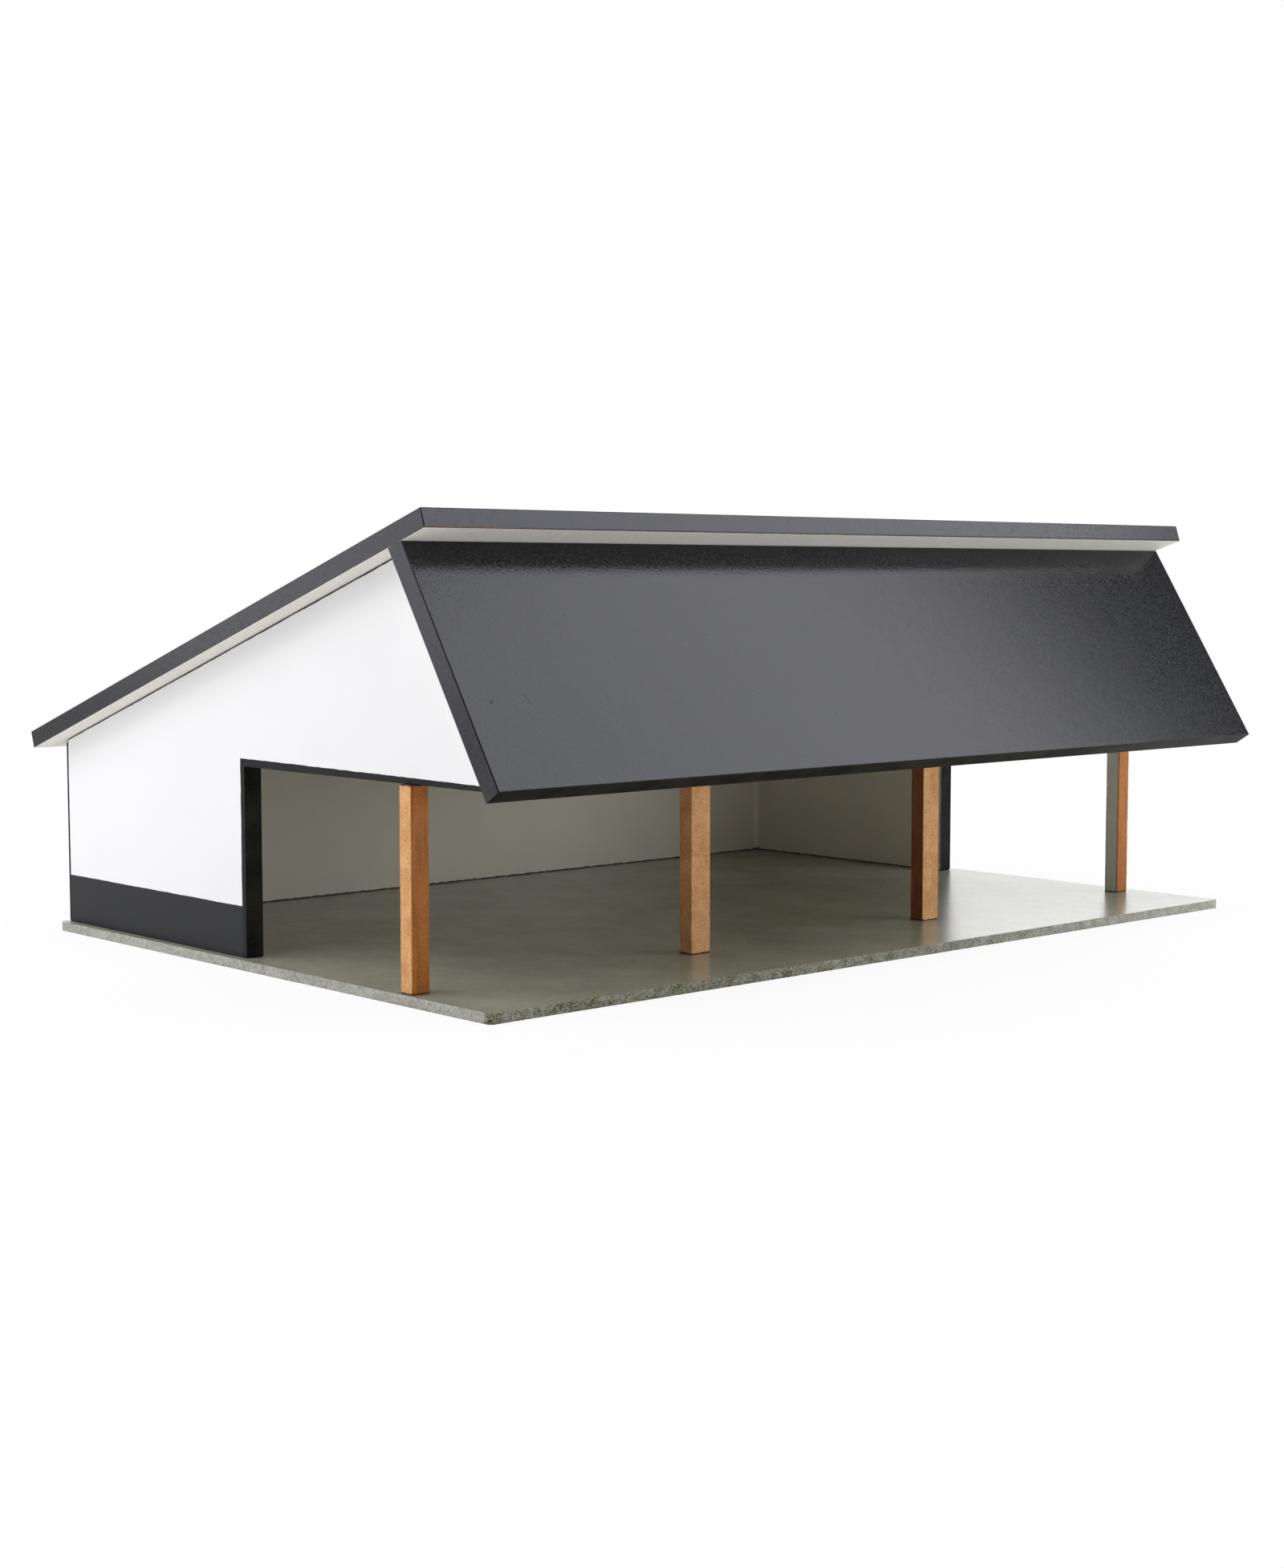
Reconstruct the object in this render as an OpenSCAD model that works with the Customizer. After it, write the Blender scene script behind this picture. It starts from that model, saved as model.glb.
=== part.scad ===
// Toy barn of painted MDF: an open-front farm shed on a thin base board. Three walls, four
// posts and a beam are fixed to the base. The roof board and the slanted front panel are one
// hood, which rests on the wall tops and lifts off for play.
// Origin: the underside of the base, midway between the side walls and midway front to back.
// +X is the barn's right seen from the front, the front faces -Y, +Z is up. Millimetres.

/* [Base] */
// Length of the base board, left to right
base_l = 550; // [546:1:560]
// Depth of the base board, front to back
base_d = 380; // [378:1:400]
// Thickness of the base board
base_t = 5; // [4:0.5:8]
// Radius of the base board's corners
base_r = 3; // [1:0.5:8]
// How far the base board sits to the right of the house's middle
base_shift = 1; // [0:0.5:3]

/* [Walls] */
// Length over the outer faces of the two side walls
house_l = 538; // [530:1:542]
// Thickness of the wall boards
wall_t = 10; // [9:0.5:12]
// Height of the roof board's underside over the rear wall's outer face, above the base board
eave_h = 100.4; // [98:0.1:110]
// Strip of base board left free behind the walls
rear_margin = 2; // [1:0.5:6]
// Front to back length of the side walls' lower part
lower_wall_l = 178; // [150:1:200]
// Height of the open bays at the sides, above the base board
bay_h = 96; // [90:1:97]
// Radius of the side walls' rear top corners
eave_r = 3; // [1:0.5:6]
// Radius of the side walls' bottom corners
foot_r = 1.2; // [0.5:0.1:3]

/* [Posts and beam] */
// Front to back depth of the posts and the beam
post_d = 9; // [8:0.5:11]
// Width of the two posts under the side walls
side_post_w = 10; // [8:0.5:12]
// Width of the two posts under the beam
centre_post_w = 13; // [10:0.5:16]
// Distance from the middle of one post to the middle of the next
post_pitch = 176.2; // [172:0.2:177]
// How far the row of posts sits to the left of the house's middle
post_row_shift = 2.5; // [0:0.1:3]
// Distance from the base board's front edge to the posts' front faces
post_setback = 59; // [50:1:70]
// Height of the beam that lies on the two middle posts
beam_h = 13; // [10:0.5:16]

/* [Roof] */
// Pitch of the roof board, rising from the rear to the front, in degrees
roof_pitch = 17.9; // [16:0.1:20]
// Length of the roof board along its slope
roof_len = 375.6; // [370:0.1:380]
// Thickness of the roof board
roof_t = 9.5; // [8:0.5:12]
// How far the roof board and the front panel reach past each side wall
side_overhang = 12; // [8:0.5:16]
// How far the roof board reaches past the rear wall, along its slope
rear_overhang = 15.4; // [12:0.2:20]
// Radius of the roof board's corners
roof_r = 2; // [0.5:0.5:4]
// Gap left between the roof board and the wall tops that it rests on
roof_gap = 0.2; // [0.1:0.1:0.5]

/* [Front panel] */
// Length of the front panel, from the roof board down its face
panel_len = 127; // [120:1:130]
// Thickness of the front panel
panel_t = 10.4; // [9:0.1:12]
// Lean of the front panel from upright, bottom edge forward, in degrees
panel_lean = 32.3; // [30:0.1:34]
// Distance from the roof board's front edge back to the panel's face
panel_setback = 17; // [14:0.5:20]
// Gap between the panel and the slanted front edges of the side walls
panel_gap = 0.3; // [0.2:0.1:0.6]

/* [Strips under the roof] */
// Width of the locating strips
strip_w = 9; // [6:0.5:12]
// Height of the locating strips
strip_h = 13; // [8:0.5:16]
// Gap between a locating strip and the wall beside it
strip_gap = 0.6; // [0.4:0.1:1.5]
// Length of the two side strips
side_strip_l = 272; // [200:1:280]
// Leg of the three-sided strip in the corner behind the front panel
ridge_leg = 15; // [10:0.5:18]

/* [Fixings] */
// Radius of the base screws' shanks
screw_r = 1.5; // [1:0.1:2]
// Radius of the base screws' heads
head_r = 3; // [2.5:0.1:3.5]
// Length of the base screws
screw_l = 20; // [16:1:25]
// Depth of the screw heads below the base board's underside
head_sink = 0.3; // [0.2:0.1:0.5]
// Radius of the dowels in the rear corners
corner_dowel_r = 3; // [2:0.5:3]
// Length of the dowels in the rear corners
corner_dowel_l = 24; // [20:1:30]
// Radius of the dowels at the beam's ends
beam_dowel_r = 2; // [1.5:0.5:2.5]
// Radius of the dowels in the posts' tops
post_dowel_r = 1.5; // [1:0.1:2]
// Length of the dowels at the beam's ends and in the posts' tops
small_dowel_l = 16; // [12:1:18]

/* [Hidden] */

$fn = 32;
cut = 0.5; // how far a hole is cut past a face

// Colours of the finishes
black_paint = [0.10, 0.10, 0.11];
white_paint = [0.95, 0.95, 0.95];
concrete_paint = [0.56, 0.56, 0.51];
mdf_brown = [0.72, 0.54, 0.36];
beech = [0.80, 0.66, 0.47];
zinc = [0.72, 0.72, 0.70];

// Side walls and rear wall
outer_x = house_l / 2;
inner_x = outer_x - wall_t;
rear_y = base_d / 2 - rear_margin;
notch_y = rear_y - lower_wall_l;
eave_z = base_t + eave_h;
bay_z = base_t + bay_h;

// The underside of the roof board and the tops of the walls, as heights at a distance front to back
function under_z(y) = eave_z + (rear_y - y) * tan(roof_pitch);
function wall_top_z(y) = under_z(y) - roof_gap;

// Roof board and front panel, seen from the side as [y, z]
roof_w = house_l + 2 * side_overhang;
roof_front = [rear_y - (roof_len - rear_overhang) * cos(roof_pitch),
              eave_z + (roof_len - rear_overhang) * sin(roof_pitch)];
panel_down = [-sin(panel_lean), -cos(panel_lean)]; // down along the panel's face
panel_in = [cos(panel_lean), -sin(panel_lean)];    // through the panel's thickness
face_top = [roof_front[0] + panel_setback, under_z(roof_front[0] + panel_setback)];
face_foot = face_top + panel_len * panel_down;

// Where a line parallel to the panel's face, set back by depth, meets the roof's underside,
// or a line that runs drop below it
function under_roof(depth, drop = 0) =
    let (start = face_top + depth * panel_in,
         rise = under_z(start[0]) - drop - start[1],
         gain = -panel_down[1] - tan(roof_pitch) * panel_down[0])
    start - panel_down * rise / gain;

// Where the same line crosses a height
function on_level(depth, z) =
    let (start = face_top + depth * panel_in)
    start + panel_down * (z - start[1]) / panel_down[1];

// Posts, from left to right
post_mid = [for (i = [0:3]) (i - 1.5) * post_pitch - post_row_shift];
post_w = [side_post_w, centre_post_w, centre_post_w, side_post_w];
post_y = -base_d / 2 + post_setback;
post_mid_y = post_y + post_d / 2;

// Places of the fixings
side_screw_y = [for (i = [-1:1]) (rear_y + notch_y) / 2 + i * 66];
rear_screw_x = [for (i = [-1.5:1:1.5]) i * 140];
corner_dowel_z = [for (i = [0:2]) base_t + 16 + i * 32];
corner_dowel_in_side = 7;
beam_dowel_in_side = 4;
beam_dowel_z = bay_z + beam_h - 4;
post_dowel_up = 6;
// The dowels of the outer posts stand in the middle of what post and wall share
post_dowel_x = [(post_mid[0] + side_post_w / 2 - outer_x) / 2, post_mid[1], post_mid[2],
                (post_mid[3] + side_post_w / 2 + inner_x) / 2];
recess_w = 0.8; // the cross recess in a screw head
recess_d = 1;
tip_l = 3;      // the screws' points
head_h = head_r - screw_r;

// Points of the corner b between a and c, rounded to radius r
function corner(a, b, c, r, steps = 5) =
    r == 0 ? [b] :
    let (u = (a - b) / norm(a - b),
         v = (c - b) / norm(c - b),
         half = acos(u * v) / 2,
         middle = b + (u + v) / norm(u + v) * r / sin(half),
         from = b + u * r / tan(half) - middle,
         to = b + v * r / tan(half) - middle,
         start = atan2(from[1], from[0]),
         turn = atan2(to[1], to[0]) - start,
         sweep = turn > 180 ? turn - 360 : turn < -180 ? turn + 360 : turn)
    [for (i = [0:steps]) middle + r * [cos(start + sweep * i / steps), sin(start + sweep * i / steps)]];

// An outline with each of its corners rounded to its own radius
function rounded(points, radii) =
    let (n = len(points))
    [for (i = [0:n - 1]) each corner(points[(i + n - 1) % n], points[i], points[(i + 1) % n], radii[i])];

// A rectangle of the size w by d, centred, with rounded corners
function plate(w, d, r) =
    rounded([[-w / 2, -d / 2], [w / 2, -d / 2], [w / 2, d / 2], [-w / 2, d / 2]], [r, r, r, r]);

// A board whose outline is drawn as seen from the side, [y, z], and that runs from x = x0 to x1
module side_board(outline, x0, x1) {
    translate([x0, 0, 0]) rotate([90, 0, 90]) linear_extrude(x1 - x0) polygon(outline);
}

// Puts its children on the roof's underside: +Y down the slope from the eave, +Z through the board
module under_roof_frame() {
    translate([0, rear_y, eave_z]) rotate([-roof_pitch, 0, 0]) children();
}

// Where the base screws stand
module at_wall_screws() {
    for (side = [-1, 1], y = side_screw_y) translate([side * (outer_x - wall_t / 2), y, 0]) children();
    for (x = rear_screw_x) translate([x, rear_y - wall_t / 2, 0]) children();
}
module at_post_screws() {
    for (x = post_mid) translate([x, post_mid_y, 0]) children();
}

// A countersunk wood screw driven upwards, its head sunk in the base board's underside
module base_screw() {
    translate([0, 0, head_sink]) difference() {
        union() {
            cylinder(h = head_h, r1 = head_r, r2 = screw_r);
            translate([0, 0, head_h]) cylinder(h = screw_l - head_h - tip_l, r = screw_r);
            translate([0, 0, screw_l - tip_l]) cylinder(h = tip_l, r1 = screw_r, r2 = 0.2);
        }
        for (turn = [0, 90]) rotate([0, 0, turn])
            translate([-head_r / 2, -recess_w / 2, -cut]) cube([head_r, recess_w, recess_d + cut]);
    }
}

// The hole for a base screw: countersink, clear hole and the bore that the shank fills
module screw_hole() {
    translate([0, 0, -cut]) cylinder(h = head_sink + cut, r = head_r);
    translate([0, 0, head_sink]) cylinder(h = head_h, r1 = head_r, r2 = screw_r);
    translate([0, 0, head_sink + head_h]) cylinder(h = screw_l - head_h - tip_l, r = screw_r);
    translate([0, 0, head_sink + screw_l - tip_l]) cylinder(h = tip_l, r1 = screw_r, r2 = 0.2);
}

// The dowels, which also cut their own bores
module corner_dowel_rods() {
    for (side = [-1, 1], z = corner_dowel_z)
        translate([side * (inner_x + corner_dowel_in_side), rear_y - wall_t / 2, z])
            rotate([0, -side * 90, 0]) cylinder(h = corner_dowel_l, r = corner_dowel_r);
}
module beam_dowel_rods() {
    for (side = [-1, 1])
        translate([side * (inner_x + beam_dowel_in_side), post_mid_y, beam_dowel_z])
            rotate([0, -side * 90, 0]) cylinder(h = small_dowel_l, r = beam_dowel_r);
}
module post_dowel_rods() {
    for (x = post_dowel_x)
        translate([x, post_mid_y, bay_z + post_dowel_up - small_dowel_l])
            cylinder(h = small_dowel_l, r = post_dowel_r);
}

// The side wall's outline: a full-height rear part, and an upper part that runs on to the panel
wall_outline = rounded(
    [[rear_y, base_t], [rear_y, wall_top_z(rear_y)], under_roof(panel_t + panel_gap, roof_gap),
     on_level(panel_t + panel_gap, bay_z), [notch_y, bay_z], [notch_y, base_t]],
    [foot_r, eave_r, 0, 0, 0, foot_r]);

module side_wall(x0) {
    color(white_paint) difference() {
        side_board(wall_outline, x0, x0 + wall_t);
        at_wall_screws() screw_hole();
        corner_dowel_rods();
        beam_dowel_rods();
        post_dowel_rods();
    }
}

module post(i) {
    color(mdf_brown) difference() {
        translate([post_mid[i] - post_w[i] / 2, post_y, base_t]) cube([post_w[i], post_d, bay_h]);
        at_post_screws() screw_hole();
        post_dowel_rods();
    }
}

module base_plate() {
    color(concrete_paint) difference() {
        translate([base_shift, 0, 0]) linear_extrude(base_t) polygon(plate(base_l, base_d, base_r));
        at_wall_screws() screw_hole();
        at_post_screws() screw_hole();
    }
}

module left_wall() {
    side_wall(-outer_x);
}

module right_wall() {
    side_wall(inner_x);
}

// The rear wall stands between the side walls, its top edge bevelled to the roof's pitch
module rear_wall() {
    color(white_paint) difference() {
        side_board([[rear_y - wall_t, base_t], [rear_y, base_t], [rear_y, wall_top_z(rear_y)],
                    [rear_y - wall_t, wall_top_z(rear_y - wall_t)]], -inner_x, inner_x);
        at_wall_screws() screw_hole();
        corner_dowel_rods();
    }
}

module front_left_post() {
    post(0);
}

module centre_left_post() {
    post(1);
}

module centre_right_post() {
    post(2);
}

module front_right_post() {
    post(3);
}

// The beam lies on the two middle posts and ends against the side walls, behind the front panel
module front_beam() {
    color(mdf_brown) difference() {
        translate([-inner_x, post_y, bay_z]) cube([2 * inner_x, post_d, beam_h]);
        beam_dowel_rods();
        post_dowel_rods();
    }
}

module wall_screws() {
    color(zinc) at_wall_screws() base_screw();
}

module post_screws() {
    color(zinc) at_post_screws() base_screw();
}

module rear_corner_dowels() {
    color(beech) corner_dowel_rods();
}

module beam_dowels() {
    color(beech) beam_dowel_rods();
}

module post_dowels() {
    color(beech) post_dowel_rods();
}

module roof_board() {
    color(black_paint) under_roof_frame() translate([0, rear_overhang - roof_len / 2, 0])
        linear_extrude(roof_t) polygon(plate(roof_w, roof_len, roof_r));
}

// The front panel is cut square at the bottom and to the roof's pitch at the top
module front_panel() {
    color(black_paint) side_board(
        [face_top, face_foot, face_foot + panel_t * panel_in, under_roof(panel_t)],
        -roof_w / 2, roof_w / 2);
}

// The ridge strip is glued into the corner between the panel's back and the roof's underside
module ridge_strip() {
    ridge_corner = under_roof(panel_t);
    down_slope = [cos(roof_pitch), -sin(roof_pitch)];
    color(mdf_brown) side_board(
        [ridge_corner, ridge_corner + ridge_leg * panel_down, ridge_corner + ridge_leg * down_slope],
        strip_gap + strip_w - inner_x, inner_x - strip_gap - strip_w);
}

// The locating strips hang inside the walls and keep the hood from sliding off
module locating_strip(x0, y0, w, l) {
    color(mdf_brown) under_roof_frame() translate([x0, y0, -strip_h]) cube([w, l, strip_h]);
}
rear_strip_y = -wall_t / cos(roof_pitch) - strip_gap - strip_w; // along the slope
side_strip_y = rear_strip_y - 4 - side_strip_l;

module left_locating_strip() {
    locating_strip(-inner_x + strip_gap, side_strip_y, strip_w, side_strip_l);
}

module right_locating_strip() {
    locating_strip(inner_x - strip_gap - strip_w, side_strip_y, strip_w, side_strip_l);
}

module rear_locating_strip() {
    locating_strip(-inner_x + strip_gap, rear_strip_y, 2 * (inner_x - strip_gap), strip_w);
}

base_plate();
left_wall();
right_wall();
rear_wall();
front_left_post();
centre_left_post();
centre_right_post();
front_right_post();
front_beam();
wall_screws();
post_screws();
rear_corner_dowels();
beam_dowels();
post_dowels();
roof_board();
front_panel();
ridge_strip();
left_locating_strip();
right_locating_strip();
rear_locating_strip();
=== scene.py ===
import math

import bmesh
import bpy
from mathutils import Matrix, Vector, noise


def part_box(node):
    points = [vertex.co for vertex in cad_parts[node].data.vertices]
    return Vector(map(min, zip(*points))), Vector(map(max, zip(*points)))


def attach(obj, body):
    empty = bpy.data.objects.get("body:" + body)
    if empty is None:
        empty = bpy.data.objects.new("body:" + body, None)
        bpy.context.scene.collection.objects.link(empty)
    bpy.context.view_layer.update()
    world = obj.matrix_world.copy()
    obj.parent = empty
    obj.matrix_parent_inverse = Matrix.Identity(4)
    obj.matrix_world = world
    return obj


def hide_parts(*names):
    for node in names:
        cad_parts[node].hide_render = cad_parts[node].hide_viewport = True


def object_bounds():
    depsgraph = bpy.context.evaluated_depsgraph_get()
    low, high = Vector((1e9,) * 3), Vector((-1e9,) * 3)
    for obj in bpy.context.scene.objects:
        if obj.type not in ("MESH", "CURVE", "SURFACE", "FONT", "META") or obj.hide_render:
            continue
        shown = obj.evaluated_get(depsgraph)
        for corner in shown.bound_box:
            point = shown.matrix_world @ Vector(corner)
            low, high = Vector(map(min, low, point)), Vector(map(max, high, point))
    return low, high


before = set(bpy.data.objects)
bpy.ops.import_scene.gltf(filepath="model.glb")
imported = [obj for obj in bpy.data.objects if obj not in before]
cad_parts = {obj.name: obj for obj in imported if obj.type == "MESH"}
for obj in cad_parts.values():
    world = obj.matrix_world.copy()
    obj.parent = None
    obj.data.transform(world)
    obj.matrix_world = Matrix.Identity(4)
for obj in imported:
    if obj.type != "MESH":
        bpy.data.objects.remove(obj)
cad_low, cad_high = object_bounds()


# ---- Base board -------------------------------------------------------------------------------
# A thin cement-grey board: a smooth satin face over a coarse, pale core of grit and fibre. It was
# sawn to size and left raw at the edges, where grains have broken out. Screws come up through it.
MM = 0.001
BASE_CORNER_R = 3 * MM
GRIT = 0.6 * MM           # size of the grit in the core
GRAIN = 0.9 * MM          # size of the grains that have broken out, and the step of the edges' mesh
GRAIN_DEPTH = 0.22 * MM   # how deep a grain leaves a pit
PIT_LIFT = 0.25           # added to the pits' noise, which runs either side of 0, so that most show
RIM = 0.4 * MM            # how far the broken arris reaches in over the face
BREAK_SIZE = 1.5 * GRAIN  # size of the breaks in the rim, and the level of noise above which they show
BREAK_LEVEL = 0.1
FRACTAL = (1, 2, 3)       # falloff, step in scale and number of layers of an uneven surface's noise
HEAD_R = 3 * MM           # a countersunk screw's head, its shank, and how deep the head is sunk
SHANK_R = 1.5 * MM
HEAD_SINK = 0.3 * MM
SIDE_SCREW_PITCH = 66 * MM
REAR_SCREW_PITCH = 140 * MM
FACES_IT = 0.9            # a face looks along a direction where its normal has more than this of it


def colour(hex_code):
    """A colour written in sRGB hex, as the linear red, green, blue and alpha that nodes take."""
    levels = [int(hex_code[i:i + 2], 16) / 255 for i in (1, 3, 5)]
    linear = [c / 12.92 if c <= 0.04045 else ((c + 0.055) / 1.055) ** 2.4 for c in levels]
    return (*linear, 1)


def add_node(tree, kind, sockets=None, **settings):
    """A shader node with its settings, whose sockets take numbers, colours or other nodes' sockets."""
    made = tree.nodes.new("ShaderNode" + kind)
    for name, value in settings.items():
        setattr(made, name, value)
    for name, value in (sockets or {}).items():
        if isinstance(value, bpy.types.NodeSocket):
            tree.links.new(value, made.inputs[name])
        else:
            made.inputs[name].default_value = value
    return made


def new_material(name, **shader_sockets):
    """A material with a Principled shader, its node tree and the place of each point on the piece."""
    material = bpy.data.materials.new(name)
    material.use_nodes = True
    tree = material.node_tree
    shader = tree.nodes["Principled BSDF"]
    for socket, value in shader_sockets.items():
        shader.inputs[socket.replace("_", " ")].default_value = value
    place = add_node(tree, "TexCoord").outputs["Object"]
    return material, tree, shader, place


def block(low, high):
    """A square-edged block between its lowest and highest corners."""
    made = bmesh.new()
    bmesh.ops.create_cube(made, size=1)
    bmesh.ops.scale(made, vec=high - low, verts=made.verts)
    bmesh.ops.translate(made, vec=(low + high) / 2, verts=made.verts)
    return made


def finish_piece(bm, name, body, materials, replaced=()):
    """Makes the bmesh a piece that rides on a body and stands for its CAD nodes."""
    mesh = bpy.data.meshes.new(name)
    bm.to_mesh(mesh)
    bm.free()
    piece = bpy.data.objects.new(name, mesh)
    bpy.context.scene.collection.objects.link(piece)
    for material in materials:
        mesh.materials.append(material)
    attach(piece, body)
    if replaced:
        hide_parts(*replaced)
    return piece


# Sealed cement-grey face, level and satin: cloudy grey-green with specks, and a soft, grainy reflection
# in which the posts show. The real grain is under a millimetre, and is drawn coarser so that it shows.
cement_face, tree, shader, place = new_material("sealed_cement_face", Roughness=0.24, IOR=1.55)
clouds = add_node(tree, "TexNoise", {"Vector": place, "Scale": 1 / (60 * MM), "Detail": 6,
                                     "Roughness": 0.7})
flecks = add_node(tree, "TexNoise", {"Vector": place, "Scale": 1 / (2 * MM), "Detail": 3})
mottle = add_node(tree, "Mix", {"Factor": 0.3, "A": clouds.outputs["Fac"], "B": flecks.outputs["Fac"]})
face_tone = add_node(tree, "ValToRGB", {"Fac": mottle.outputs["Result"]})
face_tone.color_ramp.elements[0].position = 0.36
face_tone.color_ramp.elements[0].color = colour("#88897a")
face_tone.color_ramp.elements[1].position = 0.64
face_tone.color_ramp.elements[1].color = colour("#9fa090")
tree.links.new(face_tone.outputs["Color"], shader.inputs["Base Color"])
ripple = add_node(tree, "TexNoise", {"Vector": place, "Scale": 1 / (2 * MM), "Detail": 3})
bump = add_node(tree, "Bump", {"Height": ripple.outputs["Fac"], "Distance": 0.035 * MM})
tree.links.new(bump.outputs["Normal"], shader.inputs["Normal"])

# Raw core: pale and dark grit in a grey-green binder, matt, with pits where grains fell out. The front
# edge's colour is darker and harsher, less so towards its right end.
cement_core, tree, shader, place = new_material("raw_cement_core", Roughness=0.9, IOR=1.45)
low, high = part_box("base_plate")
grit = add_node(tree, "TexVoronoi", {"Vector": place, "Scale": 1 / GRIT})
fines = add_node(tree, "TexNoise", {"Vector": place, "Scale": 1 / (0.4 * MM)})
patches = add_node(tree, "TexNoise", {"Vector": place, "Scale": 1 / (6 * MM), "Detail": 3})
speckle = add_node(tree, "Mix", {"Factor": 0.5, "A": grit.outputs["Color"], "B": fines.outputs["Fac"]})
speckle = add_node(tree, "Mix", {"Factor": 0.35, "A": speckle.outputs["Result"],
                                 "B": patches.outputs["Fac"]})
core_tone = add_node(tree, "ValToRGB", {"Fac": speckle.outputs["Result"]})
core_tone.color_ramp.elements[0].position = 0.34
core_tone.color_ramp.elements[0].color = colour("#919288")
core_tone.color_ramp.elements[1].position = 0.64
core_tone.color_ramp.elements[1].color = colour("#c4c4bd")
pits = add_node(tree, "TexNoise", {"Vector": place, "Scale": 1 / (0.9 * MM), "Detail": 3,
                                   "Roughness": 0.7})
pit_mask = add_node(tree, "MapRange", {"Value": pits.outputs["Fac"], "From Min": 0.34, "From Max": 0.42})
pitted = add_node(tree, "Mix", {"Factor": pit_mask.outputs["Result"], "A": colour("#6c6b61"),
                                "B": core_tone.outputs["Color"]}, data_type="RGBA")
axes = add_node(tree, "SeparateXYZ", {"Vector": place})
at_front = add_node(tree, "MapRange", {"Value": axes.outputs["Y"], "From Min": low.y + 2 * MM,
                                       "From Max": low.y + 5 * MM, "To Min": 1, "To Max": 0})
less_right = add_node(tree, "MapRange", {"Value": axes.outputs["X"], "From Min": -100 * MM,
                                         "From Max": 250 * MM, "To Min": 1, "To Max": 0.3})
# The front edge's colour is made darker and harsher here, less so towards its right end.
front_darkening = add_node(tree, "Math", {0: at_front.outputs["Result"], 1: less_right.outputs["Result"]},
                  operation="MULTIPLY")
darker = add_node(tree, "Math", {0: front_darkening.outputs[0], 1: -0.19}, operation="MULTIPLY")
harsher = add_node(tree, "Math", {0: front_darkening.outputs[0], 1: 0.25}, operation="MULTIPLY")
core_colour = add_node(tree, "BrightContrast", {"Color": pitted.outputs["Result"],
                                                "Bright": darker.outputs[0],
                                                "Contrast": harsher.outputs[0]})
tree.links.new(core_colour.outputs["Color"], shader.inputs["Base Color"])
bump = add_node(tree, "Bump", {"Height": speckle.outputs["Result"], "Strength": 0.9,
                               "Distance": 0.2 * MM})
tree.links.new(bump.outputs["Normal"], shader.inputs["Normal"])

bm = block(low, high)
uprights = [e for e in bm.edges if e.verts[0].co.z != e.verts[1].co.z]
bmesh.ops.bevel(bm, geom=uprights, offset=BASE_CORNER_R, affect="EDGES", segments=4, profile=0.5,
                material=-1)
# The edges are cut into steps of a grain, with the broad faces left out, and those are closed again
broad = [f for f in bm.faces if abs(f.normal.z) > FACES_IT]
bmesh.ops.inset_region(bm, faces=broad, thickness=RIM)
bmesh.ops.delete(bm, geom=broad, context="FACES_ONLY")
for axis in (0, 1, 2):
    length = (high - low)[axis]
    least_span = 0.9 * length if axis < 2 else 0
    along = [e for e in bm.edges if abs(e.verts[0].co[axis] - e.verts[1].co[axis]) > least_span]
    bmesh.ops.subdivide_edges(bm, edges=along, cuts=round(length / GRAIN), use_grid_fill=True)
bmesh.ops.holes_fill(bm, edges=[e for e in bm.edges if e.is_boundary], sides=0)
bmesh.ops.recalc_face_normals(bm, faces=bm.faces)
bm.normal_update()
for face in bm.faces:
    is_top = face.normal.z > FACES_IT
    is_rim = is_top and len(face.verts) == 4
    broken = is_rim and noise.noise(face.calc_center_median() / BREAK_SIZE) > BREAK_LEVEL
    face.material_index = 0 if is_top and not broken else 1
inner_low = low + Vector((RIM, RIM, 0)) / 2
inner_high = high - Vector((RIM, RIM, 0)) / 2
middle = (low + high) / 2
for vert in bm.verts:
    inside_x = inner_low.x < vert.co.x < inner_high.x
    inside_y = inner_low.y < vert.co.y < inner_high.y
    if inside_x and inside_y:
        continue
    pit = GRAIN_DEPTH * max(0, noise.fractal(vert.co / GRAIN, *FRACTAL) + PIT_LIFT)
    sideways = Vector((vert.normal.x, vert.normal.y, 0))
    looks_up_or_down = sideways.length < 0.1
    if looks_up_or_down:
        sideways = Vector((vert.co.x - middle.x, vert.co.y - middle.y, 0))
    vert.co -= sideways.normalized() * pit
    on_arris = abs(vert.normal.z) > 0.3
    if on_arris:
        vert.co.z -= math.copysign(pit / 2, vert.co.z - middle.z)
for face in bm.faces:
    face.smooth = abs(face.normal.z) < FACES_IT
base_board = finish_piece(bm, "base_board", "barn", [cement_face, cement_core],
                          ["base_plate"])

# The countersinks under the screws, cut out of the board's underside
screws_low, screws_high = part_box("wall_screws")
side_x = screws_high.x - HEAD_R
rear_screw_y = screws_high.y - HEAD_R
screw_places = [(side * side_x, screws_low.y + HEAD_R + i * SIDE_SCREW_PITCH)
                for side in (-1, 1) for i in range(3)]
screw_places += [(i * REAR_SCREW_PITCH, rear_screw_y) for i in (-1.5, -0.5, 0.5, 1.5)]
post_screws_low, post_screws_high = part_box("post_screws")
post_screw_y = (post_screws_low.y + post_screws_high.y) / 2
for post in ("front_left_post", "centre_left_post", "centre_right_post", "front_right_post"):
    post_low, post_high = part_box(post)
    screw_places.append(((post_low.x + post_high.x) / 2, post_screw_y))
tip_r = 0.9 * SHANK_R
cone_h = HEAD_R - tip_r
below = 2 * HEAD_SINK     # the cones start below the board, and open it wider than the heads
bm = bmesh.new()
for x, y in screw_places:
    made = bmesh.ops.create_cone(bm, cap_ends=True, segments=32, radius1=HEAD_R + below, radius2=tip_r,
                                 depth=cone_h + below)
    bmesh.ops.translate(bm, vec=(x, y, low.z + cone_h / 2), verts=made["verts"])
cutter_mesh = bpy.data.meshes.new("countersinks")
bm.to_mesh(cutter_mesh)
bm.free()
cutter = bpy.data.objects.new("countersinks", cutter_mesh)
bpy.context.scene.collection.objects.link(cutter)
cut = base_board.modifiers.new("countersinks", "BOOLEAN")
cut.object = cutter
cut.solver = "EXACT"
bpy.context.view_layer.update()
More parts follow.
